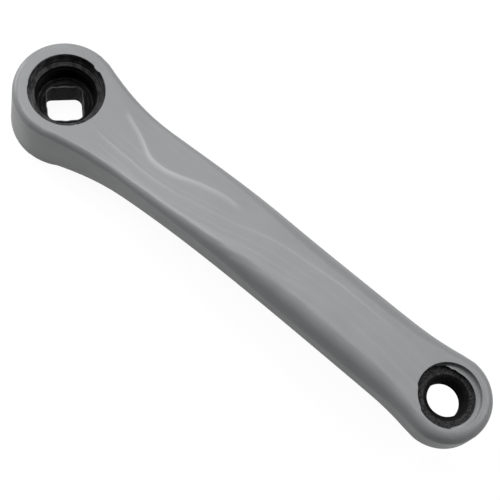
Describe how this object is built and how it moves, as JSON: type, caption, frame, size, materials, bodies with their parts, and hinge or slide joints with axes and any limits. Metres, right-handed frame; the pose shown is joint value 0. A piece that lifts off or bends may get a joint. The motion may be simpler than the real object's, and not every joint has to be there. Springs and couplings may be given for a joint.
{
  "type": "bicycle crank arm",
  "caption": "Left-hand bicycle crank arm for a square-taper spindle: a black steel core in a grey moulded plastic cover, offset outwards, with a threaded pedal eye.",
  "frame": {"origin": "on the spindle axis, at the back face of the boss", "axes": "+X along the arm from the spindle to the pedal, +Z along the spindle and pedal axes, away from the bicycle"},
  "size_m": [0.2054, 0.0384, 0.0339],
  "materials": {
    "black_steel": "satin",
    "grey_plastic": "satin"
  },
  "bodies": {
    "root": {"steel_core": "black_steel", "plastic_cover": "grey_plastic"}
  },
  "joints": []
}
